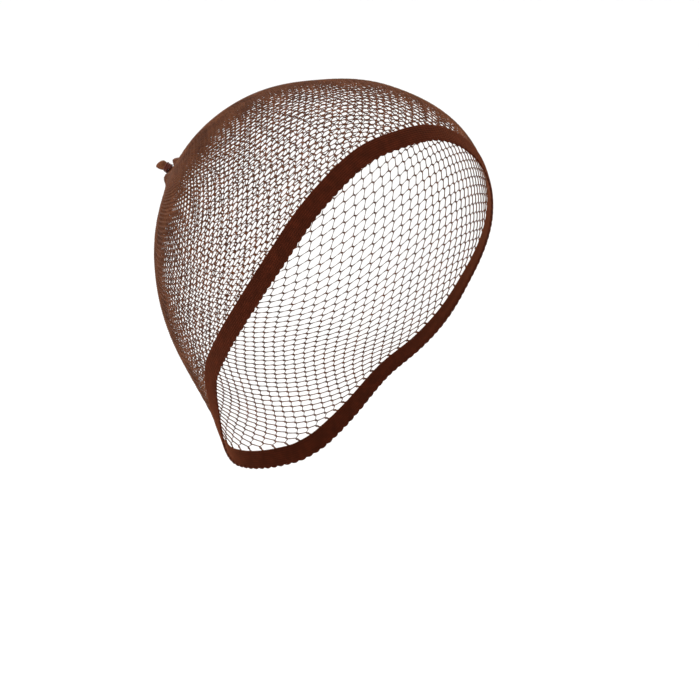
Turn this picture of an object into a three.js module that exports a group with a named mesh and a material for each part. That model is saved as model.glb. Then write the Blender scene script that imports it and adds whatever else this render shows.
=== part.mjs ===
// Wig cap: a knitted net tube drawn over a head, tied off in a gather behind the crown, and edged
// with a narrow elastic band that runs from the hairline down behind the ears and round the nape.
//
// Millimetres. The origin is the crown seat, the highest point of the head inside the cap.
// +Z is up, the wearer looks along -Y, and the wearer's right side is -X.
import * as THREE from "three";

// ---- The head that the cap takes its form from ----

// Distance from the head's centre to the net, for directions that lean away from straight up by
// the polar angle in degrees: towards the face, towards either side, and towards the back.
const HEAD_FORM = [
  { polar: 0, front: 90, side: 90, back: 90 },
  { polar: 25, front: 95, side: 89, back: 92 },
  { polar: 50, front: 101, side: 88, back: 91 },
  { polar: 75, front: 98, side: 80, back: 94 },
  { polar: 100, front: 88, side: 75, back: 96 },
  { polar: 125, front: 92, side: 80, back: 95 },
  { polar: 140, front: 94, side: 88, back: 98 },
  { polar: 150, front: 98, side: 99, back: 106 },
  { polar: 160, front: 118, side: 120, back: 122 },
];

// ---- The elastic band ----

// Line of the band's middle: the polar angle at each angle around the head, counted from the
// forehead towards the wearer's right or left. The cap sits a little lower over the left temple.
const BAND_LINE = [
  { around: 0, right: 53.6, left: 53.6 },
  { around: 15, right: 55.7, left: 56.2 },
  { around: 30, right: 61, left: 63.2 },
  { around: 45, right: 74, left: 75 },
  { around: 60, right: 93, left: 93 },
  { around: 75, right: 110.5, left: 110.5 },
  { around: 90, right: 123.5, left: 123.5 },
  { around: 105, right: 133, left: 133 },
  { around: 120, right: 144.5, left: 144.5 },
  { around: 135, right: 151, left: 151 },
  { around: 150, right: 154, left: 154 },
  { around: 165, right: 155, left: 155 },
  { around: 180, right: 155.3, left: 155.3 },
];
const BAND_WIDTH = 10;
const BAND_THICKNESS = 1.4;
const BAND_EDGE_ROUNDING = 0.4;
const BAND_STATIONS = 80;

// ---- The net ----

const NET_WALL = 1;
const SEAM_GAP = 0.55;
const NET_COLUMNS = 80;
const NET_ROWS = 22;
// Rows crowd together towards the gather, where the form turns quickly.
const ROW_CROWDING = 1.8;

// ---- The gather, where the tube's end is drawn together and tied ----

const GATHER_AROUND = 146;
const GATHER_POLAR = 60;
const NECK_RADIUS = 1.3;
// Heights above the head form, along the gather's axis.
const NECK_FOOT = 1.5;
const NECK_TOP = 4.2;
// The net climbs to the neck's foot over this distance, and dips as far inside.
const CLIMB_LENGTH = 2.4;
const INNER_CLIMB = 1.1;
// Radial folds around the gather: how many, how high at their highest, and turned how far.
const FOLDS = [
  { count: 9, height: 0.6, turn: 20 },
  { count: 4, height: 0.45, turn: 75 },
];
const FOLD_PEAK_DISTANCE = 6.5;

// ---- The tie and the tuft beyond it ----

const TIE_CLEARANCE = 0.3;
const THREAD_WIDTH = 0.7;
const THREAD_TURNS = 3;
const THREAD_SWELL = 0.25;
const TIE_WALL = 0.55;
const TIE_FOOT = 2.25;
const TIE_SIDES = 24;

// Middle line and half widths of the tuft, from its root at the neck's top to its tip: out along
// the gather's axis, leaning away from the crown.
const TUFT_SECTIONS = [
  { out: 0.3, lean: 0, halfWidth: 1.2, halfDepth: 1.2 },
  { out: 0.9, lean: 0, halfWidth: 1.6, halfDepth: 1.6 },
  { out: 1.8, lean: -0.2, halfWidth: 2.3, halfDepth: 2.1 },
  { out: 2.9, lean: -0.5, halfWidth: 2.7, halfDepth: 2.4 },
  { out: 4, lean: -0.8, halfWidth: 2.4, halfDepth: 2.1 },
  { out: 4.8, lean: -1, halfWidth: 1.4, halfDepth: 1.2 },
];
const TUFT_SIDES = 14;

// ---- Reading the tables ----

const DEGREE = Math.PI / 180;

/** Smooth curve through one column of a table, with each row's slope taken from its neighbours. */
function readTable(rows, key, column, at) {
  const last = rows.length - 1;
  const x = THREE.MathUtils.clamp(at, rows[0][key], rows[last][key]);
  let row = 0;
  while (row < last - 1 && x > rows[row + 1][key]) row += 1;
  const slopeAt = (index) => {
    const before = rows[Math.max(index - 1, 0)];
    const after = rows[Math.min(index + 1, last)];
    return index === 0 ? 0 : (after[column] - before[column]) / (after[key] - before[key]);
  };
  const span = rows[row + 1][key] - rows[row][key];
  const t = (x - rows[row][key]) / span;
  const startShare = (1 + 2 * t) * (1 - t) ** 2;
  const rise = rows[row][column] * startShare + rows[row + 1][column] * (1 - startShare);
  const bend = slopeAt(row) * t * (1 - t) ** 2 - slopeAt(row + 1) * t ** 2 * (1 - t);
  return rise + bend * span;
}

// The band's line as one table around the whole head, from the nape over the left ear, the
// forehead and the right ear back to the nape, with one row beyond each end.
const BAND_LOOP = [
  ...BAND_LINE.slice(1).map(({ around, left }) => ({ around: -around, polar: left })).reverse(),
  ...BAND_LINE.map(({ around, right }) => ({ around, polar: right })),
];
const BEYOND_NAPE = BAND_LINE[BAND_LINE.length - 2];
BAND_LOOP.unshift({ around: BEYOND_NAPE.around - 360, polar: BEYOND_NAPE.right });
BAND_LOOP.push({ around: 360 - BEYOND_NAPE.around, polar: BEYOND_NAPE.left });

// ---- The head form ----

const HEAD_CENTRE = new THREE.Vector3(0, 0, NET_WALL / 2 - HEAD_FORM[0].front);

/** Direction from the head's centre: around from the forehead to the wearer's right, and down. */
function headDirection(around, polar) {
  const flat = Math.sin(polar * DEGREE);
  const right = flat * Math.sin(around * DEGREE);
  const forward = flat * Math.cos(around * DEGREE);
  return new THREE.Vector3(-right, -forward, Math.cos(polar * DEGREE));
}

/** Distance from the head's centre to the middle of the net in a direction. */
function headRadius(direction) {
  const polar = Math.acos(THREE.MathUtils.clamp(direction.z, -1, 1)) / DEGREE;
  const flat = Math.max(Math.hypot(direction.x, direction.y), 1e-9);
  const forward = -direction.y / flat;
  const sideways = direction.x / flat;
  const lengthwise = readTable(HEAD_FORM, "polar", forward > 0 ? "front" : "back", polar);
  const across = readTable(HEAD_FORM, "polar", "side", polar);
  return 1 / Math.hypot(forward / lengthwise, sideways / across);
}

function onHead(direction, lift = 0) {
  return HEAD_CENTRE.clone().addScaledVector(direction, headRadius(direction) + lift);
}

/** Outward normal of the head form, from two short steps across it. */
function headNormal(direction) {
  const step = 0.01;
  const helper = Math.abs(direction.z) < 0.9 ? new THREE.Vector3(0, 0, 1) : new THREE.Vector3(1, 0, 0);
  const east = helper.clone().cross(direction).normalize();
  const north = direction.clone().cross(east);
  const moved = (axis, sign) => onHead(direction.clone().addScaledVector(axis, sign * step).normalize());
  const eastward = moved(east, 1).sub(moved(east, -1));
  const northward = moved(north, 1).sub(moved(north, -1));
  return eastward.cross(northward).normalize();
}

// ---- Closed solids from rings of points ----

/** Triangles between rings of equal size, where each ring closes on itself. */
function ringWalls(ringCount, ringSize, closesOnFirst) {
  const faces = [];
  const lastRing = closesOnFirst ? ringCount : ringCount - 1;
  for (let ring = 0; ring < lastRing; ring += 1) {
    const here = ring * ringSize;
    const next = ((ring + 1) % ringCount) * ringSize;
    for (let side = 0; side < ringSize; side += 1) {
      const beside = (side + 1) % ringSize;
      faces.push(here + side, here + beside, next + beside);
      faces.push(here + side, next + beside, next + side);
    }
  }
  return faces;
}

/** Fan from a middle point to a ring. The fan faces along the ring's right-hand turn. */
function fan(middle, firstOfRing, ringSize, reversed = false) {
  const faces = [];
  for (let side = 0; side < ringSize; side += 1) {
    const a = firstOfRing + side;
    const b = firstOfRing + ((side + 1) % ringSize);
    faces.push(middle, reversed ? b : a, reversed ? a : b);
  }
  return faces;
}

function solid(points, faces) {
  const geometry = new THREE.BufferGeometry();
  geometry.setAttribute("position", new THREE.Float32BufferAttribute(points.flatMap((p) => p.toArray()), 3));
  geometry.setIndex(faces);
  geometry.computeVertexNormals();
  return geometry;
}

// ---- The band's loop ----

/** Evenly spaced places on the band's middle line, each with its directions along, out and up. */
function bandPlaces(count) {
  const marks = [];
  for (let around = -180; around < 180; around += 2.5) {
    marks.push(onHead(headDirection(around, readTable(BAND_LOOP, "around", "polar", around))));
  }
  const loop = new THREE.CatmullRomCurve3(marks, true, "centripetal");
  loop.arcLengthDivisions = 720;
  return Array.from({ length: count }, (_, index) => {
    const middle = loop.getPointAt(index / count);
    const along = loop.getTangentAt(index / count);
    const out = headNormal(middle.clone().sub(HEAD_CENTRE).normalize());
    const up = along.clone().cross(out).normalize();
    return { middle, along, out, up };
  });
}

function bandGeometry() {
  const wide = BAND_WIDTH / 2;
  const thick = BAND_THICKNESS / 2;
  const edge = BAND_EDGE_ROUNDING;
  const section = [
    [-wide, thick - edge],
    [edge - wide, thick],
    [wide - edge, thick],
    [wide, thick - edge],
    [wide, edge - thick],
    [wide - edge, -thick],
    [edge - wide, -thick],
    [-wide, edge - thick],
  ];
  const places = bandPlaces(BAND_STATIONS);
  const points = places.flatMap(({ middle, out, up }) =>
    section.map(([across, outward]) =>
      middle.clone().addScaledVector(up, across).addScaledVector(out, outward)));
  return solid(points, ringWalls(places.length, section.length, true));
}

// ---- The net crown ----

const GATHER_AXIS = headDirection(GATHER_AROUND, GATHER_POLAR);
// Towards the crown and towards the wearer's left, square to the gather's axis.
const GATHER_LEFT = new THREE.Vector3(0, 0, 1).cross(GATHER_AXIS).normalize();
const GATHER_UP = GATHER_AXIS.clone().cross(GATHER_LEFT);

/** Height of the radial folds at a distance from the gather's axis. */
function foldHeight(distance, turn) {
  const reach = (distance / FOLD_PEAK_DISTANCE) * Math.exp(1 - distance / FOLD_PEAK_DISTANCE);
  return FOLDS.reduce(
    (sum, fold) => sum + reach * fold.height * Math.cos(fold.count * (turn - fold.turn * DEGREE)), 0);
}

function netGeometry() {
  const rims = bandPlaces(NET_COLUMNS).map(({ middle, up }) =>
    middle.clone().addScaledVector(up, BAND_WIDTH / 2 + SEAM_GAP).sub(HEAD_CENTRE).normalize());
  const columns = rims.map((rim) => {
    const sweep = GATHER_AXIS.angleTo(rim);
    const heading = rim.clone().addScaledVector(GATHER_AXIS, -rim.dot(GATHER_AXIS)).normalize();
    const turn = Math.atan2(heading.dot(GATHER_UP), heading.dot(GATHER_LEFT));
    return { sweep, heading, turn };
  });
  const gatherRadius = headRadius(GATHER_AXIS);

  // One ring of the wall, from the neck (share 0) to the rim (share 1).
  const ring = (share, wallSide) => columns.map(({ sweep, heading, turn }) => {
    const start = NECK_RADIUS / gatherRadius;
    const angle = start + (sweep - start) * share ** ROW_CROWDING;
    const direction = GATHER_AXIS.clone().multiplyScalar(Math.cos(angle));
    direction.addScaledVector(heading, Math.sin(angle));
    const distance = angle * gatherRadius;
    const climb = Math.exp((NECK_RADIUS - distance) / CLIMB_LENGTH);
    const climbHeight = wallSide > 0 ? NECK_FOOT - NET_WALL / 2 : INNER_CLIMB;
    const lift = (wallSide * NET_WALL) / 2 + climb * climbHeight;
    return onHead(direction, lift + foldHeight(distance, turn));
  });

  const neckTop = columns.map(({ heading }) =>
    onHead(GATHER_AXIS, NECK_TOP).addScaledVector(heading, NECK_RADIUS));
  const outer = Array.from({ length: NET_ROWS + 1 }, (_, row) => ring(row / NET_ROWS, 1));
  const inner = Array.from({ length: NET_ROWS + 1 }, (_, row) => ring(1 - row / NET_ROWS, -1));
  const rings = [neckTop, ...outer, ...inner];
  const points = [...rings.flat(), onHead(GATHER_AXIS, NECK_TOP), onHead(GATHER_AXIS, INNER_CLIMB)];
  const lastRing = (rings.length - 1) * NET_COLUMNS;
  const faces = [
    ...ringWalls(rings.length, NET_COLUMNS, false),
    ...fan(points.length - 2, 0, NET_COLUMNS, true),
    ...fan(points.length - 1, lastRing, NET_COLUMNS),
  ];
  return solid(points, faces);
}

// ---- The tie and the tuft, built along +Z and set on the gather ----

/** Three turns of thread wound close around the neck, as a ring with a swelling for each turn. */
function tieGeometry() {
  const inner = NECK_RADIUS + TIE_CLEARANCE;
  const outer = inner + TIE_WALL;
  const height = THREAD_TURNS * THREAD_WIDTH;
  const profile = [new THREE.Vector2(inner, 0)];
  for (let turn = 0; turn < THREAD_TURNS; turn += 1) {
    profile.push(new THREE.Vector2(outer, turn * THREAD_WIDTH + THREAD_WIDTH * 0.1));
    profile.push(new THREE.Vector2(outer + THREAD_SWELL, turn * THREAD_WIDTH + THREAD_WIDTH / 2));
  }
  profile.push(new THREE.Vector2(outer, height - THREAD_WIDTH * 0.1));
  profile.push(new THREE.Vector2(inner, height));
  profile.push(profile[0].clone());
  return new THREE.LatheGeometry(profile, TIE_SIDES);
}

function tuftGeometry() {
  const points = TUFT_SECTIONS.flatMap(({ out, lean, halfWidth, halfDepth }) =>
    Array.from({ length: TUFT_SIDES }, (_, side) => {
      const angle = (side / TUFT_SIDES) * 2 * Math.PI;
      return new THREE.Vector3(halfWidth * Math.cos(angle), lean + halfDepth * Math.sin(angle), out);
    }));
  const root = TUFT_SECTIONS[0];
  const tip = TUFT_SECTIONS[TUFT_SECTIONS.length - 1];
  points.push(new THREE.Vector3(0, root.lean, root.out));
  points.push(new THREE.Vector3(0, tip.lean + tip.halfDepth / 2, tip.out + tip.halfDepth / 2));
  const lastRing = (TUFT_SECTIONS.length - 1) * TUFT_SIDES;
  const faces = [
    ...ringWalls(TUFT_SECTIONS.length, TUFT_SIDES, false),
    ...fan(points.length - 2, 0, TUFT_SIDES, true),
    ...fan(points.length - 1, lastRing, TUFT_SIDES),
  ];
  return solid(points, faces);
}

// ---- The assembly ----

const netBrown = new THREE.MeshStandardMaterial({ color: 0x74472f, roughness: 0.6, metalness: 0 });
const bandBrown = new THREE.MeshStandardMaterial({ color: 0x45200f, roughness: 0.75, metalness: 0 });
const threadBrown = new THREE.MeshStandardMaterial({ color: 0x5a2416, roughness: 0.5, metalness: 0 });
const tuftBrown = new THREE.MeshStandardMaterial({ color: 0x4a2a1a, roughness: 0.45, metalness: 0 });

function piece(name, geometry, material) {
  const mesh = new THREE.Mesh(geometry, material);
  mesh.name = name;
  return mesh;
}

const cap = new THREE.Group();
cap.add(piece("net_crown", netGeometry(), netBrown));
cap.add(piece("edge_band", bandGeometry(), bandBrown));

// A frame on the gather: its +Z is the gather's axis, and its +Y leans towards the crown.
const gather = new THREE.Group();
gather.position.copy(onHead(GATHER_AXIS));
gather.quaternion.setFromRotationMatrix(new THREE.Matrix4().makeBasis(GATHER_LEFT, GATHER_UP, GATHER_AXIS));
cap.add(gather);

const tie = piece("gather_tie", tieGeometry().rotateX(Math.PI / 2), threadBrown);
tie.position.z = TIE_FOOT;
gather.add(tie);

const tuft = piece("gather_tuft", tuftGeometry(), tuftBrown);
tuft.position.z = NECK_TOP;
gather.add(tuft);

export default cap;
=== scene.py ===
# %% [markdown]
# # A wig cap, thread by thread
#
# A wig cap is a tube of open net, knitted on a warp knitting machine. One end is drawn together
# and tied with thread, and the other end carries a narrow elastic band. Stretched over a head,
# the net takes the head's form. The frame gives the true size and place of each piece, in metres,
# and every piece below is made for that place.

# %% The frame
import math

import bpy
import numpy as np
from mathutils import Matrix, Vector


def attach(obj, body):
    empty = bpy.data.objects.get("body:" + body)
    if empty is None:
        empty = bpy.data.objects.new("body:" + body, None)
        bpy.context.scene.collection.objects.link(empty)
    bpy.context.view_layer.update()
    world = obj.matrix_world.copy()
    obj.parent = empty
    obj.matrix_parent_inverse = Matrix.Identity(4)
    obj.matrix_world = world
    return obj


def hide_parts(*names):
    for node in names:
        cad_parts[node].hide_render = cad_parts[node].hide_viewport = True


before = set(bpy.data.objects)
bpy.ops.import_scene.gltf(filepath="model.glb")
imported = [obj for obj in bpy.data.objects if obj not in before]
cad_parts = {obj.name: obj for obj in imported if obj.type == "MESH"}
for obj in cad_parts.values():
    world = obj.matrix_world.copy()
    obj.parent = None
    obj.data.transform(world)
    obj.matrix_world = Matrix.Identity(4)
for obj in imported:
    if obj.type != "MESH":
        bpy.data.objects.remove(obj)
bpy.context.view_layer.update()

MM = 0.001

# %% [markdown]
# ## The camera
#
# The cap is looked at from in front of the wearer's right temple, almost level with its middle. A
# long lens from 1.4 m away keeps the near and the far side at almost the same scale.

# %% The camera
AIM = Vector((10.53, -9.82, -135.6)) * MM
VIEW_AZIMUTH = math.radians(-43)
VIEW_DOWN = math.radians(1.15)
VIEW_DISTANCE = 1.4
LENS_MM = 142.6
SENSOR_MM = 36

towards_camera = Vector((math.sin(VIEW_AZIMUTH), -math.cos(VIEW_AZIMUTH), 0)) * math.cos(VIEW_DOWN)
towards_camera.z = math.sin(VIEW_DOWN)
camera_data = bpy.data.cameras.new("studio_camera")
camera_data.sensor_width = SENSOR_MM
camera_data.lens = LENS_MM
camera_data.clip_end = 20
camera = bpy.data.objects.new("studio_camera", camera_data)
camera.location = AIM + towards_camera * VIEW_DISTANCE
camera.rotation_euler = (-towards_camera).to_track_quat("-Z", "Y").to_euler()
bpy.context.scene.collection.objects.link(camera)
bpy.context.scene.camera = camera
print("camera at", [round(c, 3) for c in camera.location])

# %% [markdown]
# ## Colours and nodes
#
# Colours are written as sRGB hex values, as a picker gives them, and turned linear once. One
# helper adds any shader node, sets its fields and joins its inputs, so that each material below
# reads as a short list of what its surface is.

# %% Colour and node helpers
def linear(hex_colour):
    """Linear RGBA of an sRGB colour such as "6b3f2c"."""
    channels = [int(hex_colour[i:i + 2], 16) / 255 for i in (0, 2, 4)]
    return [c / 12.92 if c <= 0.04045 else ((c + 0.055) / 1.055) ** 2.4 for c in channels] + [1]


def add_node(tree, kind, fields=(), **inputs):
    """Adds a node, sets its fields, and gives each input a value or joins it to a socket.

    An input goes by its name, with underscores for spaces, or by its number, as in _0.
    """
    node = tree.nodes.new(kind)
    for field, value in dict(fields).items():
        setattr(node, field, value)
    for name, value in inputs.items():
        key = int(name[1:]) if name[1:].isdigit() else name.replace("_", " ")
        socket = node.inputs[key]
        if isinstance(value, bpy.types.NodeSocket):
            tree.links.new(value, socket)
        else:
            socket.default_value = value
    return node


def new_material(name, **settings):
    """A material whose Principled shader takes the settings given. Returns both."""
    material = bpy.data.materials.new(name)
    material.use_nodes = True
    shader = material.node_tree.nodes["Principled BSDF"]
    for field, value in settings.items():
        shader.inputs[field.replace("_", " ")].default_value = value
    return material, shader


def ramp(tree, factor, stops):
    """A colour ramp from (place, hex) stops."""
    node = add_node(tree, "ShaderNodeValToRGB", _0=factor)
    elements = node.color_ramp.elements
    while len(elements) < len(stops):
        elements.new(0.5)
    for element, (place, colour) in zip(elements, stops):
        element.position = place
        element.color = linear(colour)
    return node.outputs["Color"]


print("a mid brown in linear light:", [round(c, 3) for c in linear("6b3f2c")])

# %% [markdown]
# ## The paper sweep
#
# A pale sweep of paper runs under the cap and up behind it, as on a product table. One strip
# bent in a quarter circle has no line where the floor meets the wall.

# %% The paper sweep
FLOOR_Z = -302 * MM
# The paper's sizes in metres, measured from the middle of the cap.
FLOOR_BEFORE = 4.0
FLOOR_BEHIND = 0.9
PAPER_HALF_WIDTH = 4
COVE_RADIUS = 0.5
COVE_STEPS = 12
WALL_TOP = 3.5


def sweep_mesh():
    """Floor, cove and wall as one strip that turns its face to the camera."""
    profile = [(-FLOOR_BEFORE, 0.0), (FLOOR_BEHIND, 0.0)]
    for step in range(1, COVE_STEPS + 1):
        turn = step / COVE_STEPS * math.pi / 2
        profile.append((FLOOR_BEHIND + COVE_RADIUS * math.sin(turn), COVE_RADIUS * (1 - math.cos(turn))))
    profile.append((FLOOR_BEHIND + COVE_RADIUS, WALL_TOP))
    away = -Vector((towards_camera.x, towards_camera.y, 0)).normalized()
    across = Vector((-away.y, away.x, 0))
    points = [away * run + across * side + Vector((0, 0, FLOOR_Z + rise))
              for run, rise in profile for side in (-PAPER_HALF_WIDTH, PAPER_HALF_WIDTH)]
    faces = [(2 * i, 2 * i + 1, 2 * i + 3, 2 * i + 2) for i in range(len(profile) - 1)]
    mesh = bpy.data.meshes.new("paper_sweep")
    mesh.from_pydata(points, [], faces)
    mesh.shade_smooth()
    return mesh


sweep = bpy.data.objects.new("paper_sweep", sweep_mesh())
bpy.context.scene.collection.objects.link(sweep)
paper, _ = new_material("white_paper", Base_Color=linear("fcfcfb"), Roughness=0.9)
sweep.data.materials.append(paper)
print("paper at z =", FLOOR_Z, "with", len(sweep.data.polygons), "faces")

# %% [markdown]
# ## The lamps
#
# Three large soft lamps and a pale surround give even light. The key lamp stands high on the
# camera's left, a weaker one fills in from the right, and the third lights the paper from behind
# the cap. Size makes a lamp soft: each is over a metre wide.

# %% The lamps
LAMP_AIM = Vector((0, 0, -0.1))
SURROUND_STRENGTH = 0.7


def soft_lamp(name, azimuth, elevation, distance, size, watts):
    """A square area lamp that faces the cap's middle, turned from the camera by azimuth."""
    turn = VIEW_AZIMUTH + math.radians(azimuth)
    lift = math.radians(elevation)
    way = Vector((math.sin(turn) * math.cos(lift), -math.cos(turn) * math.cos(lift), math.sin(lift)))
    data = bpy.data.lights.new(name, "AREA")
    data.size = size
    data.energy = watts
    lamp = bpy.data.objects.new(name, data)
    lamp.location = LAMP_AIM + way * distance
    lamp.rotation_euler = way.to_track_quat("Z", "Y").to_euler()
    bpy.context.scene.collection.objects.link(lamp)


soft_lamp("key_lamp", -35, 40, 1.8, 1.2, 12)
soft_lamp("fill_lamp", 50, 25, 2.0, 1.6, 5)
soft_lamp("paper_lamp", 180, 60, 2.2, 1.8, 18)

world = bpy.data.worlds.new("pale_surround")
world.use_nodes = True
world.node_tree.nodes["Background"].inputs["Color"].default_value = linear("ffffff")
world.node_tree.nodes["Background"].inputs["Strength"].default_value = SURROUND_STRENGTH
bpy.context.scene.world = world
bpy.context.scene.view_settings.view_transform = "Standard"
print("lamps:", [light.name for light in bpy.data.lights])

# %% [markdown]
# ## The head form
#
# A net has no form of its own. It takes the form of the head below it, so the first thing to
# write is that form: the distance from the head's centre for each lean away from straight up,
# towards the face, the sides and the back. The frame was built from the same short table.

# %% The head form
HEAD_ROWS = np.array([
    # polar angle in degrees, then the distance in mm in front, at the side and behind
    (0, 90, 90, 90),
    (25, 95, 89, 92),
    (50, 101, 88, 91),
    (75, 98, 80, 94),
    (100, 88, 75, 96),
    (125, 92, 80, 95),
    (140, 94, 88, 98),
    (150, 98, 99, 106),
    (160, 118, 120, 122),
], float)
CROWN_TOP = 0.5
HEAD_CENTRE = np.array([0, 0, CROWN_TOP - HEAD_ROWS[0, 1]])


def read_rows(x, places, values):
    """Smooth curve through a table's column, each row's slope taken from its neighbours."""
    spans = np.diff(places)
    slopes = np.zeros(len(values))
    slopes[1:-1] = (values[2:] - values[:-2]) / (places[2:] - places[:-2])
    slopes[-1] = (values[-1] - values[-2]) / spans[-1]
    x = np.clip(x, places[0], places[-1])
    row = np.clip(np.searchsorted(places, x, side="right") - 1, 0, len(places) - 2)
    t = (x - places[row]) / spans[row]
    share = (1 + 2 * t) * (1 - t) ** 2
    bend = slopes[row] * t * (1 - t) ** 2 - slopes[row + 1] * t ** 2 * (1 - t)
    return values[row] * share + values[row + 1] * (1 - share) + bend * spans[row]


print("forward of the centre at half height:", round(float(read_rows(90, *HEAD_ROWS.T[:2])), 1), "mm")

# %% [markdown]
# ## Places on the head
#
# A direction from the head's centre is enough to name a place on the head. Between front, side
# and back the distance follows an ellipse. The surface has no ready formula for its slope, so a
# short step each way gives the outward normal.

# %% Places on the head
SURFACE_STEP = 0.01


def unit(v):
    """Vectors of length one."""
    return v / np.linalg.norm(v, axis=-1, keepdims=True)


def head_direction(around, polar):
    """Direction from the head's centre: around from the face, polar down from the top, in degrees."""
    around, polar = np.radians(around), np.radians(polar)
    flat = np.sin(polar)
    return np.stack([-flat * np.sin(around), -flat * np.cos(around), np.cos(polar)], -1)


def head_radius(direction):
    """Distance from the head's centre to the middle of the net."""
    polar = np.degrees(np.arccos(np.clip(direction[..., 2], -1, 1)))
    flat = np.maximum(np.hypot(direction[..., 0], direction[..., 1]), 1e-9)
    forward, sideways = -direction[..., 1] / flat, direction[..., 0] / flat
    front, side, back = (read_rows(polar, HEAD_ROWS[:, 0], HEAD_ROWS[:, c]) for c in (1, 2, 3))
    return 1 / np.hypot(forward / np.where(forward > 0, front, back), sideways / side)


def on_head(direction, lift=0.0):
    """Points on the head form, lifted off it by some millimetres."""
    return HEAD_CENTRE + direction * (head_radius(direction) + lift)[..., None]


def head_normal(direction):
    """Outward normal of the head form."""
    helper = np.where(np.abs(direction[..., 2:]) < 0.9, [0, 0, 1], [1, 0, 0])
    east = unit(np.cross(helper, direction))
    north = np.cross(direction, east)

    def step(way):
        ahead, back = unit(direction + SURFACE_STEP * way), unit(direction - SURFACE_STEP * way)
        return on_head(ahead) - on_head(back)

    return unit(np.cross(step(east), step(north)))


print("half width at the temples:", round(float(head_radius(head_direction(90, 85))), 1), "mm")

# %% [markdown]
# ## The line of the band
#
# The band runs high over the forehead, falls across the temple, passes behind the ear and goes
# round the nape. Its line is a second short table, read all round the head. Stitches have one
# size, so the line is then walked in steps of equal length.

# %% The line of the band
BAND_ROWS = np.array([
    # angle around from the face, then the polar angle on the right and on the left, in degrees
    (0, 53.6, 53.6),
    (15, 55.7, 56.2),
    (30, 61, 63.2),
    (45, 74, 75),
    (60, 93, 93),
    (75, 110.5, 110.5),
    (90, 123.5, 123.5),
    (105, 133, 133),
    (120, 144.5, 144.5),
    (135, 151, 151),
    (150, 154, 154),
    (165, 155, 155),
    (180, 155.3, 155.3),
], float)
BAND_WIDTH = 10.0
LINE_STEP = 0.25
LINE_PLACES = 360


def band_loop(count):
    """Evenly spaced places on the band's middle line: middle, outward, up, and the line's length."""
    left, right = BAND_ROWS[1:][::-1], BAND_ROWS
    places = np.concatenate([[-195], -left[:, 0], right[:, 0], [195]])
    polar = np.concatenate([[left[1, 2]], left[:, 2], right[:, 1], [right[-2, 1]]])
    around = np.arange(-180, 180, LINE_STEP)
    points = on_head(head_direction(around, read_rows(around, places, polar)))
    closed = np.vstack([points, points[:1]])
    walked = np.concatenate([[0], np.cumsum(np.linalg.norm(np.diff(closed, axis=0), axis=1))])
    stops = np.arange(count) / count * walked[-1]
    middle = np.stack([np.interp(stops, walked, closed[:, c]) for c in range(3)], -1)
    along = unit(np.roll(middle, -1, 0) - np.roll(middle, 1, 0))
    out = head_normal(unit(middle - HEAD_CENTRE))
    up = unit(np.cross(along, out))
    return middle, out, up, walked[-1]


BAND_LENGTH = band_loop(LINE_PLACES)[-1]
print("band's loop:", round(float(BAND_LENGTH), 1), "mm")

# %% [markdown]
# ## The net's plan
#
# The net is a hexagon net from a warp knitting machine. Each needle makes a column of stitches,
# called a wale. Two yarns share a short row of stitches, the pillar, and then part: one goes to
# the wale on the left and one to the wale on the right, where each meets the next yarn half a
# cell further on. So every yarn zigzags between two wales and nothing ends inside the net.
#
# The tube is drawn together at the gather, so all wales run from the gather to the band, and each
# holds the same number of cells. They stand close together over the forehead and again behind the
# ear, and wide over the ear and at the nape. In the back half the cells grow longer on their way
# to the band. Tying the end has also twisted the net a little, so the wales run in a slight
# swirl. Two more short tables hold this. Round the neck of the gather itself the wales stand
# evenly, and each finds its own way within the first half of its run.

# %% The net's plan
WALES = 192
CELLS = 36
GATHER = head_direction(146, 60)
GATHER_LEFT = unit(np.cross([0, 0, 1], GATHER))
GATHER_UP = np.cross(GATHER, GATHER_LEFT)
NECK_RADIUS = 1.3
# Round the neck the wales stand evenly. They leave that over this share of their run, and it
# takes this share of the swirl.
EVEN_SHARE = 0.45
EVEN_SWIRL = 0.6
# The net ends this many millimetres below the band's upper edge.
RIM_TUCK = 0.6
RIM_PLACES = 1440
NET_ROWS = np.array([
    # share of the way from the forehead to the nape, spacing of the wales in mm, cell growth
    (0.0, 2.05, 0.95),
    (0.25, 2.5, 0.94),
    (0.5, 3.4, 1.08),
    (0.6, 3.5, 1.08),
    (0.72, 2.5, 1.15),
    (0.8, 3.0, 1.28),
    (1.0, 4.2, 1.15),
], float)
SWIRL_ROWS = np.array([
    # share of the way round the band from the nape over the left side, swirl in degrees
    (0.0, 12),
    (0.3, 29),
    (0.5, 35),
    (0.56, 13),
    (0.64, 2),
    (0.72, 6),
    (0.8, 18),
    (0.88, 2),
    (1.0, 12),
], float)


def rim_columns():
    """Around the band in small steps: wale, angle from the gather, turn, cell growth, swirl."""
    middle, _, up, _ = band_loop(RIM_PLACES)
    rim = unit(middle + up * (BAND_WIDTH / 2 - RIM_TUCK) - HEAD_CENTRE)
    rim = np.vstack([rim, rim[:1]])
    share = np.abs(np.linspace(-1, 1, RIM_PLACES + 1))
    density = 1 / np.interp(share, NET_ROWS[:, 0], NET_ROWS[:, 1])
    wale = np.concatenate([[0], np.cumsum((density[1:] + density[:-1]) / 2)])
    heading = unit(rim - GATHER * (rim @ GATHER)[:, None])
    turn = np.unwrap(np.arctan2(heading @ GATHER_UP, heading @ GATHER_LEFT))
    growth = np.interp(share, NET_ROWS[:, 0], NET_ROWS[:, 2])
    round_share = np.linspace(0, 1, RIM_PLACES + 1)
    swirl = np.radians(np.interp(round_share, SWIRL_ROWS[:, 0], SWIRL_ROWS[:, 1]))
    return wale / wale[-1] * WALES, np.arccos(rim @ GATHER), turn, growth, swirl


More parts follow.
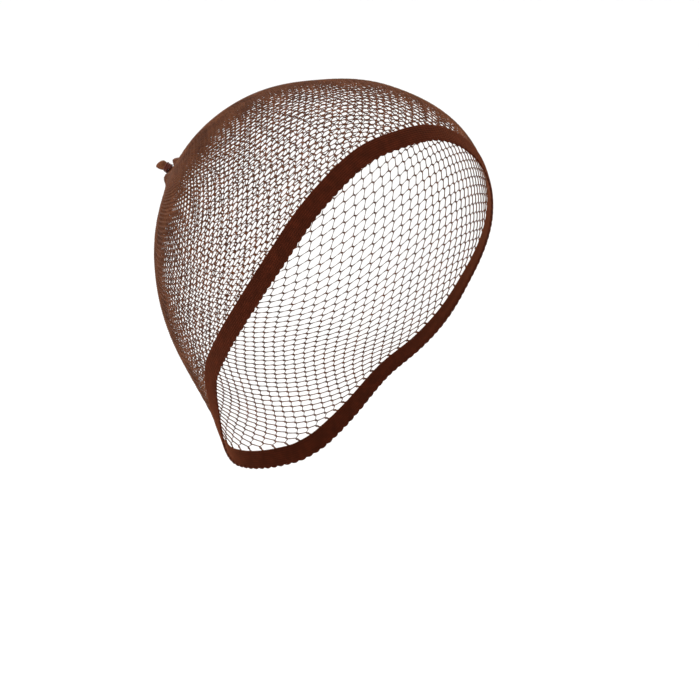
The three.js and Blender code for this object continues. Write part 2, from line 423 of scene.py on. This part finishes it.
RIM_WALE, RIM_ANGLE, RIM_TURN, RIM_GROWTH, RIM_SWIRL = rim_columns()
FULL_TURN = RIM_TURN[-1] - RIM_TURN[0]
EVEN_TURN = RIM_TURN[0] + FULL_TURN * RIM_WALE / WALES
EVEN_TURN += np.mean(RIM_TURN + RIM_SWIRL * EVEN_SWIRL - EVEN_TURN)
GATHER_RADIUS = float(head_radius(GATHER))
longest = float(RIM_ANGLE.max()) * GATHER_RADIUS
print(WALES, "wales of", CELLS, "cells; the longest runs about", round(longest), "mm")

# %% [markdown]
# ## Any place in the net
#
# With the rim known, a wale's number and a cell's number name any place in the net. Numbers
# between the whole ones are allowed, so the same function serves for pillars and for links.

# %% Any place in the net
def net_direction(wale, cell):
    """Direction from the head's centre, angle from the gather and turn, at a wale and a cell."""
    home = wale % WALES
    share = (np.clip(cell, 0, CELLS) / CELLS) ** np.interp(home, RIM_WALE, RIM_GROWTH)
    start = NECK_RADIUS / GATHER_RADIUS
    angle = start + (np.interp(home, RIM_WALE, RIM_ANGLE) - start) * share
    turn = np.interp(home, RIM_WALE, RIM_TURN) + np.interp(home, RIM_WALE, RIM_SWIRL) * (1 - share)
    even = np.interp(home, RIM_WALE, EVEN_TURN)
    own = np.clip(share / EVEN_SHARE, 0, 1)
    turn = even + (turn - even) * own ** 2 * (3 - 2 * own) + np.floor(wale / WALES) * FULL_TURN
    way = np.cos(turn)[..., None] * GATHER_LEFT + np.sin(turn)[..., None] * GATHER_UP
    return np.cos(angle)[..., None] * GATHER + np.sin(angle)[..., None] * way, angle, turn


_, crown_angle, _ = net_direction(np.array([WALES / 2]), np.array([CELLS / 2]))
print("forehead's middle cell, degrees from the gather:", round(math.degrees(crown_angle[0])))

# %% [markdown]
# ## How the net lies
#
# Near the gather the wales crowd closer than the yarn is thick, so the net bunches into radial
# pleats and climbs the neck that the tie holds. The larger pleats stand in a short table of bumps
# and hollows, and a fine wave round the gather adds the rest. The head's own table has few rows,
# so two small settings let the stretched net lie a little closer to the head, round the gather
# and on the crown.

# %% How the net lies
# How high the net climbs at the neck, and over what distance it comes down again, in mm.
NECK_FOOT = 2.8
CLIMB_LENGTH = 2.4
# How much closer the net lies at the gather, how far out that reaches, and on top of the crown.
SETTLE = 1.3
SETTLE_REACH = 45.0
CROWN_SETTLE = 0.6
# The fine wave's number of pleats, their height, and how far out they stand highest.
FINE_PLEATS = 23
FINE_PLEAT_HEIGHT = 0.25
FINE_PLEAT_PLACE = 4.5
PLEAT_ROWS = np.array([
    # turn round the gather in degrees, distance out, half width, half length, height (all in mm)
    (34, 11.0, 2.3, 3.2, 2.7),
    (49, 15.0, 2.2, 3.2, -1.8),
    (335, 9.0, 3.0, 3.6, 3.0),
    (309, 11.5, 2.2, 3.4, -1.8),
    (11, 9.0, 1.2, 3.0, -0.7),
    (76, 8.0, 1.6, 4.0, 1.1),
    (112, 7.5, 1.5, 4.2, 0.9),
    (149, 7.0, 1.5, 4.0, 0.9),
    (186, 7.5, 1.4, 4.5, 0.8),
    (221, 7.0, 1.5, 4.0, 0.9),
    (257, 7.5, 1.5, 4.5, 0.8),
    (290, 8.0, 1.5, 4.0, 0.9),
], float)


def pleat_height(distance, turn):
    """How far the gathered net stands off the head form, at a distance and turn."""
    reach = distance / FINE_PLEAT_PLACE * np.exp(1 - distance / FINE_PLEAT_PLACE)
    height = FINE_PLEAT_HEIGHT * reach * np.cos(FINE_PLEATS * turn)
    for place, out, half_width, half_length, top in PLEAT_ROWS:
        aside = (turn - math.radians(place) + math.pi) % (2 * math.pi) - math.pi
        across = distance * np.sin(aside) / half_width
        fade = np.exp(-across ** 2 - ((distance - out) / half_length) ** 2)
        height += top * fade * (np.cos(aside) > 0)
    return height


def net_point(wale, cell, lift):
    """Point of a yarn's middle, in millimetres, and the direction it has from the head's centre."""
    direction, angle, turn = net_direction(wale, cell)
    distance = angle * GATHER_RADIUS
    climb = np.exp((NECK_RADIUS - distance) / CLIMB_LENGTH) * NECK_FOOT
    crown = np.clip(direction[..., 2], 0, 1)
    free = 1 - np.clip(cell / CELLS, 0, 1) ** 4
    settle = SETTLE * np.exp(-(distance / SETTLE_REACH) ** 2) + CROWN_SETTLE * crown * free
    return on_head(direction, climb - settle + pleat_height(distance, turn) + lift), direction


turns = np.linspace(0, 2 * math.pi, 721)
heights = pleat_height(np.full(turns.shape, 10.0), turns)
print("pleats 10 mm out: from", round(float(heights.min()), 1), "to", round(float(heights.max()), 1), "mm")

# %% [markdown]
# ## The pillars
#
# A yarn is a tube along a line. In each pillar the line has four points, set aside from the
# wale's middle and woven in and out past the yarn that it meets there. Where wales are crowded,
# the yarns ride over each other.

# %% The pillars
YARN_WIDTH = 0.55
YARN_THICKNESS = 0.58
# A pillar's length in mm, and the most half cells that it may take.
PILLAR = 1.4
PILLAR_MOST = 1.2
# Its four points: where along it, how far aside from the wale's middle, and how far out or in.
PILLAR_PLACES = np.array([-0.5, -0.17, 0.17, 0.5])
PILLAR_ASIDE = np.array([0.38, 0.46, 0.46, 0.38]) * YARN_WIDTH
PILLAR_WEAVE = np.array([0.25, -0.3, 0.3, -0.25]) * YARN_THICKNESS
# The most that a yarn stands aside, as a share of the space between wales.
ASIDE_MOST = 0.25
# How far crowded yarns ride over each other, and how that shifts with each yarn and half cell.
STACK_HEIGHT = 0.45
STACK_BY_YARN = 2.4
STACK_BY_HALF = 0.9


def pillar_points(yarn, half):
    """Four points of each yarn in each pillar, by its number and the half cell: points, directions."""
    on_left = ((yarn + half) % 2 == 0)[..., None]
    wale = yarn[..., None] + np.where(on_left, 0.0, 1.0)
    cell = (half[..., None] + 0.5) / 2
    here, _ = net_point(wale, cell, 0.0)
    beyond, _ = net_point(wale, cell + 0.5, 0.0)
    beside, _ = net_point(wale + 1, cell, 0.0)
    half_cell = np.linalg.norm(beyond - here, axis=-1)
    space = np.linalg.norm(np.cross(beside - here, unit(beyond - here)), axis=-1)
    step = PILLAR_PLACES * np.minimum(PILLAR, half_cell * PILLAR_MOST) / (half_cell * 2)
    aside = np.minimum(PILLAR_ASIDE / np.maximum(space, 0.1), ASIDE_MOST)
    crowd = np.clip(1 - space / (2 * YARN_WIDTH), 0, 1)
    stack = crowd * STACK_HEIGHT * np.sin(yarn[..., None] * STACK_BY_YARN + half[..., None] * STACK_BY_HALF)
    side = np.where(on_left, 1, -1)
    return net_point(wale + side * aside, cell + step, PILLAR_WEAVE * side + stack)


sample, _ = pillar_points(np.array([[0]]), np.array([[CELLS]]))
print("a pillar's ends, apart:", round(float(np.linalg.norm(sample[0, 0, 3] - sample[0, 0, 0])), 2), "mm")

# %% [markdown]
# ## Whole yarns
#
# Between two pillars one more point leads the yarn across. Textured nylon is fluffy where it is
# slack, in the pillars and the short links, and thins where it is pulled out long, so each link's
# width follows from its length. Close to the gather nothing pulls on the yarn at all, and it
# fills out until the net is nearly shut.

# %% Whole yarns
# Widths against YARN_WIDTH: of a pillar, and of the longest links. Links up to this many
# millimetres long keep their full width.
PILLAR_FULLNESS = 1.12
LINK_THINNEST = 0.45
LINK_FULL_LENGTH = 1.3
# How much slack adds to the width at the gather, and how far out that reaches, in mm.
SLACK_FULLNESS = 0.8
SLACK_REACH = 16.0


def yarn_lines(first, count):
    """Lines of count yarns from wale first on: points, outward directions and half widths."""
    yarn, half = np.meshgrid(np.arange(first, first + count), np.arange(2 * CELLS), indexing="ij")
    pillar, way = pillar_points(yarn, half)
    leave, arrive = pillar[:, :, 3:], np.roll(pillar, -1, 1)[:, :, :1]
    # The link's middle lies on the head form too, not on the straight line between its ends.
    link_way = unit((leave + arrive) / 2 - HEAD_CENTRE)
    reach = [np.linalg.norm(end - HEAD_CENTRE, axis=-1) for end in (leave, arrive)]
    link = HEAD_CENTRE + link_way * (sum(reach) / 2)[..., None]
    length = np.linalg.norm(arrive - leave, axis=-1)
    thin = np.clip(LINK_FULL_LENGTH / np.maximum(length, 0.5), LINK_THINNEST, 1.0)
    full = np.full(pillar.shape[:3], PILLAR_FULLNESS)
    points = np.concatenate([pillar, link], 2).reshape(count, -1, 3)[:, :-1]
    ways = np.concatenate([way, link_way], 2).reshape(count, -1, 3)[:, :-1]
    width = np.concatenate([full, thin], 2).reshape(count, -1)[:, :-1]
    distance = np.arccos(np.clip(ways @ GATHER, -1, 1)) * GATHER_RADIUS
    slack = 1 + SLACK_FULLNESS * np.exp(-(distance / SLACK_REACH) ** 2)
    return points, ways, width * slack * YARN_WIDTH / 2


line, way, width = yarn_lines(0, 2)
yarn_length = float(np.linalg.norm(np.diff(line, axis=1), axis=-1).sum(1).mean())
print("points on a yarn:", line.shape[1], "and its length:", round(yarn_length), "mm")

# %% [markdown]
# ## One mesh from many rings
#
# Blender can bevel a curve into a tube, but hundreds of yarns are quicker to write straight into
# one mesh: a ring of points round each place on each line, and quads between the rings. The same
# helpers serve for the band, whose rings are its closed section. Corner numbers go into the mesh
# as whole arrays, which is far faster than one face at a time, and each face's corners get a UV
# in millimetres for the material.

# %% One mesh from many rings
def ring_quads(first, following, sides):
    """Quads between rings, from the number of each ring's first point and of the next ring's."""
    side = np.arange(sides)
    beside = (side + 1) % sides
    near, far = first[..., None], following[..., None]
    return np.stack([near + side, near + beside, far + beside, far + side], -1).reshape(-1, 4)


def quad_uv(near, far, low, high):
    """UV of the corners of each quad, from its two ends along and its two sides."""
    near, far, low, high = np.broadcast_arrays(near, far, low, high)
    corners = ((near, low), (near, high), (far, high), (far, low))
    return np.stack([np.stack(corner, -1) for corner in corners], -2)


def mesh_piece(name, points, faces, uv_name, uv, material):
    """One object from points in millimetres, arrays of equal faces, and a flat array of UV values."""
    corners = np.concatenate([same.ravel() for same in faces])
    sizes = np.concatenate([np.full(len(same), same.shape[1]) for same in faces])
    mesh = bpy.data.meshes.new(name)
    mesh.vertices.add(len(points))
    mesh.vertices.foreach_set("co", (points * MM).ravel())
    mesh.loops.add(len(corners))
    mesh.loops.foreach_set("vertex_index", corners.astype(np.int32))
    mesh.polygons.add(len(sizes))
    mesh.polygons.foreach_set("loop_start", (np.cumsum(sizes) - sizes).astype(np.int32))
    mesh.update(calc_edges=True)
    mesh.uv_layers.new(name=uv_name).data.foreach_set("uv", uv)
    mesh.shade_smooth()
    mesh.materials.append(material)
    piece = bpy.data.objects.new(name, mesh)
    bpy.context.scene.collection.objects.link(piece)
    area = sum(face.area for face in mesh.polygons)
    print(name, int((sizes - 2).sum()), "triangles,", round(area * 1e4), "square centimetres")
    return piece


print("quads between two rings of five:", ring_quads(np.array([0]), np.array([5]), 5).tolist())

# %% [markdown]
# ## Tubes
#
# Each ring stands square to its line, with one axis held near the net's outward direction so that
# it never twists. The UV runs along the tube in millimetres and once round it, and flat caps
# close the ends. Five sides are enough for a yarn half a millimetre thick, because the shading is
# smooth.

# %% Tubes
YARN_SIDES = 5


def tube_rings(lines, normals, half_width, half_depth, sides):
    """Rings of points round each line: lines x places x sides x 3."""
    along = unit(np.gradient(lines, axis=1))
    across = unit(np.cross(normals, along))
    out = np.cross(along, across)
    turn = np.arange(sides) / sides * 2 * np.pi
    wide = np.broadcast_to(half_width, lines.shape[:2])[..., None, None]
    deep = np.broadcast_to(half_depth, lines.shape[:2])[..., None, None]
    ring = wide * np.cos(turn)[:, None] * across[:, :, None, :]
    ring = ring + deep * np.sin(turn)[:, None] * out[:, :, None, :]
    return lines[:, :, None, :] + ring


def tubes_piece(name, lines, normals, half_width, half_depth, sides, material):
    """All tubes as one piece, from lines and outward normals, half widths and half depths."""
    count, places = lines.shape[:2]
    points = tube_rings(lines, normals, half_width, half_depth, sides).reshape(-1, 3)
    first = (np.arange(count)[:, None] * places + np.arange(places - 1)) * sides
    quads = ring_quads(first, first + sides, sides)
    start_cap = np.arange(count)[:, None] * places * sides + np.arange(sides)
    caps = np.concatenate([start_cap[:, ::-1], start_cap + (places - 1) * sides])
    steps = np.cumsum(np.linalg.norm(np.diff(lines, axis=1), axis=-1), 1)
    walked = np.concatenate([np.zeros((count, 1)), steps], 1)[..., None]
    side = np.arange(sides)
    uv = quad_uv(walked[:, :-1], walked[:, 1:], side / sides, (side + 1) / sides)
    uv = np.concatenate([uv.ravel(), np.zeros(caps.size * 2)])
    return mesh_piece(name, points, [quads, caps], "yarn_mm", uv, material)


rings = tube_rings(line, way, width, YARN_THICKNESS / 2, YARN_SIDES)
print("two yarns as lines, rings, points and coordinates:", rings.shape)

# %% [markdown]
# ## Nylon yarn
#
# The net is textured nylon: many fine crimped filaments, dyed brown and lightly twisted. The
# filaments scatter light along the yarn's edge, so it looks a warmer and lighter brown at a
# grazing angle. The dye took a little unevenly, in patches of about a centimetre and again of
# about a millimetre. The twist repeats within a tenth of a millimetre in truth, and is drawn three
# times coarser so that it shows.

# %% Nylon yarn
YARN_TWIST = 0.3


def twist_wave(tree, pitch, plies):
    """A wave from 0 to 0.5 that winds as twisted plies do, one each pitch along the tube."""
    uv = add_node(tree, "ShaderNodeUVMap", {"uv_map": "yarn_mm"})
    parts = add_node(tree, "ShaderNodeSeparateXYZ", Vector=uv.outputs["UV"])
    around = add_node(tree, "ShaderNodeMath", {"operation": "MULTIPLY"}, _0=parts.outputs["Y"], _1=plies)
    twist = add_node(tree, "ShaderNodeMath", {"operation": "MULTIPLY_ADD"},
                     _0=parts.outputs["X"], _1=1 / pitch, _2=around.outputs[0])
    wave = add_node(tree, "ShaderNodeMath", {"operation": "PINGPONG"}, _0=twist.outputs[0], _1=0.5)
    return wave.outputs[0]


def nylon_yarn():
    """Crimped brown nylon: soft gloss, patches of lighter and darker dye, a fine twist."""
    material, shader = new_material(
        "dyed_nylon_yarn", Roughness=0.6, IOR=1.53, Specular_IOR_Level=0.2,
        Sheen_Weight=0.12, Sheen_Roughness=0.4, Sheen_Tint=linear("b0622f"))
    tree = material.node_tree
    place = add_node(tree, "ShaderNodeTexCoord").outputs["Object"]
    patch = add_node(tree, "ShaderNodeTexNoise", Vector=place, Scale=90.0, Detail=3.0)
    fine = add_node(tree, "ShaderNodeTexNoise", Vector=place, Scale=900.0, Detail=2.0)
    mixed = add_node(tree, "ShaderNodeMath", {"operation": "ADD"},
                     _0=patch.outputs["Fac"], _1=fine.outputs["Fac"])
    tone = add_node(tree, "ShaderNodeMapRange", _0=mixed.outputs[0], _1=0.7, _2=1.3)
    colour = ramp(tree, tone.outputs[0], [(0, "47230f"), (0.5, "61351b"), (1, "7d482a")])
    tree.links.new(colour, shader.inputs["Base Color"])
    wave = twist_wave(tree, YARN_TWIST, 2.0)
    bump = add_node(tree, "ShaderNodeBump", Height=wave, Strength=0.5, Distance=0.06 * MM)
    tree.links.new(bump.outputs["Normal"], shader.inputs["Normal"])
    return material


nylon = nylon_yarn()
print("material:", nylon.name)

# %% [markdown]
# ## The net
#
# The net is made in four quarters, each a joined mesh of forty-eight yarns, so that no piece grows
# too heavy. They meet without a seam, because neighbouring yarns only touch inside the pillars.

# %% The net
QUARTERS = 4
YARNS_EACH = WALES // QUARTERS
for quarter in range(QUARTERS):
    line, way, width = yarn_lines(quarter * YARNS_EACH, YARNS_EACH)
    name = f"net_quarter_{quarter + 1}"
    piece = tubes_piece(name, line, way, width, YARN_THICKNESS / 2, YARN_SIDES, nylon)
    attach(piece, "root")
    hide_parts("net_crown")

# %% [markdown]
# ## Elastic warp knit
#
# The band is a narrow warp-knitted elastic: rubber threads run along it inside dense dark yarn.
# It is matt and a very dark brown. The grooves between its chains of stitches are painted darker,
# as painted shade, and the fuzz on its face glows a little at a grazing angle. The fuzz itself is
# far finer than a tenth of a millimetre, and is drawn at 0.4 mm so that it shows.

# %% Elastic warp knit
CHAINS = 9
# How much painted shade darkens the colour in the grooves between the chains.
GROOVE_PAINTED_SHADE = 0.35


def elastic_knit():
    """Dense dark yarn, with painted shade darkening the grooves between the lengthwise chains."""
    material, shader = new_material(
        "elastic_warp_knit", Roughness=0.85, IOR=1.5, Specular_IOR_Level=0.08,
        Sheen_Weight=0.5, Sheen_Roughness=0.45, Sheen_Tint=linear("c06a3c"))
    tree = material.node_tree
    place = add_node(tree, "ShaderNodeTexCoord").outputs["Object"]
    patch = add_node(tree, "ShaderNodeTexNoise", Vector=place, Scale=260.0, Detail=4.0)
    faint = add_node(tree, "ShaderNodeMath", {"operation": "MULTIPLY_ADD"},
                     _0=patch.outputs["Fac"], _1=0.5, _2=0.25)
    uv = add_node(tree, "ShaderNodeUVMap", {"uv_map": "cloth_mm"})
    parts = add_node(tree, "ShaderNodeSeparateXYZ", Vector=uv.outputs["UV"])
    # A wave across the band that peaks in each groove between the chains, where it paints shade.
    chain = add_node(tree, "ShaderNodeMath", {"operation": "PINGPONG"},
                     _0=parts.outputs["Y"], _1=BAND_WIDTH / CHAINS / 2)
    tone = add_node(tree, "ShaderNodeMath", {"operation": "MULTIPLY_ADD"},
                    _0=chain.outputs[0], _1=-GROOVE_PAINTED_SHADE, _2=faint.outputs[0])
    colour = ramp(tree, tone.outputs[0], [(0.2, "2d0e02"), (0.4, "3a1305"), (0.6, "4c1c0a")])
    tree.links.new(colour, shader.inputs["Base Color"])
    fine = add_node(tree, "ShaderNodeTexNoise", Vector=place, Scale=2500.0, Detail=2.0)
    bump = add_node(tree, "ShaderNodeBump", Height=fine.outputs["Fac"], Strength=0.4, Distance=0.15 * MM)
    tree.links.new(bump.outputs["Normal"], shader.inputs["Normal"])
    return material


knit = elastic_knit()
print("material:", knit.name, "with chains", round(BAND_WIDTH / CHAINS, 2), "mm apart")

# %% [markdown]
# ## The elastic band
#
# The band's upper edge is straight and takes the net in, and its lower edge is a picot, a row of
# shallow scallops 4 mm apart. Its face shows nine lengthwise chains of stitches. The band is one
# closed section, flat behind and ribbed in front, carried along the line in steps short enough to
# show each stitch.

# %% The elastic band
BAND_THICKNESS = 1.4
# Half the section's thickness between the ribs. A high power keeps the section's edges square.
FACE_HEIGHT = BAND_THICKNESS * 0.42
EDGE_SQUARENESS = 8
# The scallops: how far apart, how deep, and the share of the depth that cuts into the band.
PICOT_PITCH = 4.0
PICOT_DEPTH = 0.7
PICOT_SHIFT = 0.6
# The ribs' height, and the stitches in them: their length, their slant and how strongly they beat.
RELIEF = 0.2
STITCH = 1.6
STITCH_SLANT = 2.4
STITCH_BEAT = 0.5
# Steps along the band in mm, and columns across each chain and across the back.
STATION = 0.4
COLUMNS_IN_CHAIN = 4
BACK_COLUMNS = 13


def band_grid():
    """The band's closed section at each station, with stitches on its face, and its UV map."""
    stations = int(round(BAND_LENGTH / STATION))
    middle, out, up, length = band_loop(stations)
    walked = np.arange(stations)[:, None] / stations * length
    share = walked / length
    picots, stitches = round(length / PICOT_PITCH), round(length / STITCH)
    scallop = PICOT_DEPTH * (np.abs(np.cos(share * picots * math.pi)) - PICOT_SHIFT)

    def face(across, side, relief):
        edge = np.sqrt(np.clip(1 - np.abs(across) ** EDGE_SQUARENESS, 0, 1))
        height = side * (FACE_HEIGHT + relief) * edge
        reach = across * BAND_WIDTH / 2 - np.clip(-across, 0, 1) ** 3 * scallop
        return middle[:, None] + up[:, None] * reach[..., None] + out[:, None] * height[..., None]

    front = np.linspace(1, -1, COLUMNS_IN_CHAIN * CHAINS + 1)
    back = np.linspace(-1, 1, BACK_COLUMNS + 2)[1:-1]
    chain = front * CHAINS / 2 * math.pi
    beat = np.cos(share * stitches * 2 * math.pi + np.abs(np.sin(chain)) * STITCH_SLANT)
    relief = RELIEF * np.abs(np.cos(chain)) * (1 + STITCH_BEAT * beat)
    points = np.concatenate([face(front, 1, relief), face(back, -1, 0.0)], 1)
    v = np.concatenate([front, back]) * BAND_WIDTH / 2
    return points, quad_uv(walked, walked + length / stations, v, np.roll(v, -1))


points, uv = band_grid()
stations, columns = points.shape[:2]
first = np.arange(stations) * columns
quads = ring_quads(first, np.roll(first, -1), columns)
band = mesh_piece("elastic_band", points.reshape(-1, 3), [quads], "cloth_mm", uv.ravel(), knit)
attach(band, "root")
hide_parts("edge_band")

# %% [markdown]
# ## Nylon thread
#
# The thread of the tie is smoother than the yarn: red-brown filaments, twisted tight, with a
# little gloss. Three plies wind round it, one every half millimetre, and the grooves between them
# are painted darker, as painted shade. The twist is made by the same helper as the yarn's.

# %% Nylon thread
THREAD_TWIST = 0.5


def nylon_thread():
    """Smooth twisted thread, with painted shade in the grooves between its plies."""
    material, shader = new_material(
        "twisted_nylon_thread", Roughness=0.3, IOR=1.53, Specular_IOR_Level=0.3)
    tree = material.node_tree
    wave = twist_wave(tree, THREAD_TWIST, 3.0)
    # The ramp darkens the colour where the twist wave is low, in the grooves: painted shade.
    tone = add_node(tree, "ShaderNodeMath", {"operation": "MULTIPLY"}, _0=wave, _1=2.0)
    colour = ramp(tree, tone.outputs[0], [(0, "3a1209"), (0.6, "5c2213"), (1, "74331f")])
    tree.links.new(colour, shader.inputs["Base Color"])
    bump = add_node(tree, "ShaderNodeBump", Height=wave, Strength=0.3, Distance=0.08 * MM)
    tree.links.new(bump.outputs["Normal"], shader.inputs["Normal"])
    return material


thread = nylon_thread()
print("material:", thread.name)

# %% [markdown]
# ## The tie
#
# The closed end is wound a little more than twice with a thick thread. The thread is a helix
# round the neck of the gather, drawn as a tube. The gather has its own frame, with one axis
# straight out of the head, so that the tie and the tuft can be written upright.

# %% The tie
THREAD = 1.1
THREAD_SIDES = 10
TIE_TURNS = 2.4
TIE_PLACES = 160
# The helix in mm: its start above the head form, its rise, the room that the bunched yarn takes
# inside it, and how far its turns wander.
TIE_FOOT = 2.2
TIE_RISE = 2.6
TIE_ROOM = 0.3
TIE_WANDER = 0.1


def gather_place(right, up, out):
    """Points in the gather's own frame, in millimetres, as points of the whole cap."""
    root = on_head(GATHER)
    return (root + np.multiply.outer(right, GATHER_LEFT) + np.multiply.outer(up, GATHER_UP)
            + np.multiply.outer(out, GATHER))


turn = np.linspace(0, TIE_TURNS * 2 * math.pi, TIE_PLACES)
tie_radius = NECK_RADIUS + TIE_ROOM + THREAD / 2 + TIE_WANDER * np.sin(turn / 2)
tie_line = gather_place(tie_radius * np.cos(turn), tie_radius * np.sin(turn),
                        TIE_FOOT + turn / turn[-1] * TIE_RISE)
tie_out = np.multiply.outer(np.cos(turn), GATHER_LEFT) + np.multiply.outer(np.sin(turn), GATHER_UP)
tie = tubes_piece("wound_tie", tie_line[None], tie_out[None], THREAD / 2, THREAD / 2, THREAD_SIDES, thread)
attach(tie, "root")
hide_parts("gather_tie")

# %% [markdown]
# ## The tuft
#
# Beyond the tie the bunched yarns fold over and come back as a small lobe. It is made as loops
# of yarn that leave the neck, run out over the lobe and return on its other side. Sines of the
# loop's number stand in for chance, so the loops differ but come out alike in every run.

# %% The tuft
TUFT_LOOPS = 64
TUFT_PLACES = 41
TUFT_SIDES = 6
TUFT_HALF_WIDTH = 0.28
TUFT_HALF_DEPTH = 0.2
# In mm: the foot of the lobe above the head form, and the lobe's middle.
TUFT_FOOT = 4.2
MIDDLE_LEAN = -0.4
MIDDLE_OUT = 2.4
# How blunt the lobe's end is, how far a loop strays from the opposite side and on its way, in
# radians, and how far inside the lobe's outline the loops lie.
LOBE_BLUNTNESS = 0.8
RETURN_STRAY = 0.5
LOOP_WANDER = 0.25
LOOP_INSET = 0.86
INSET_CHANGE = 0.1
TUFT_ROWS = np.array([
    # out from the foot, lean upwards, half width, half depth, all in mm
    (0.2, 0, 1.5, 1.7),
    (0.8, 0, 1.8, 2.0),
    (1.8, -0.1, 2.1, 2.3),
    (3.0, -0.2, 2.2, 2.5),
    (4.0, -0.6, 1.9, 2.1),
    (4.8, -1.3, 1.2, 1.3),
    (5.2, -1.8, 0.05, 0.05),
], float)


def tuft_lines():
    """Lines of the loops: out along one side of the lobe and back along the other."""
    t = np.linspace(0, 1, TUFT_PLACES)
    run = 1 - np.abs(2 * t - 1)
    rows = np.linspace(0, 1, len(TUFT_ROWS))
    out, lean, wide, deep = (np.interp(run ** LOBE_BLUNTNESS, rows, TUFT_ROWS[:, c]) for c in range(4))
    lines = []
    for loop in range(TUFT_LOOPS):
        start = loop / TUFT_LOOPS * 2 * math.pi
        other = start + math.pi + RETURN_STRAY * math.sin(loop * 2.4)
        angle = np.where(t < 0.5, start, other) + LOOP_WANDER * np.sin(t * 5 + loop)
        inset = LOOP_INSET - INSET_CHANGE * math.sin(loop * 1.7)
        right = inset * wide * np.cos(angle)
        up = lean + inset * deep * np.sin(angle)
        lines.append(gather_place(right, up, TUFT_FOOT + out))
    return np.array(lines)


tuft_line = tuft_lines()
tuft_middle = gather_place(0.0, MIDDLE_LEAN, TUFT_FOOT + MIDDLE_OUT)
tuft_out = unit(tuft_line - tuft_middle)
tuft = tubes_piece("folded_tuft", tuft_line, tuft_out, TUFT_HALF_WIDTH, TUFT_HALF_DEPTH, TUFT_SIDES, nylon)
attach(tuft, "root")
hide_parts("gather_tuft")
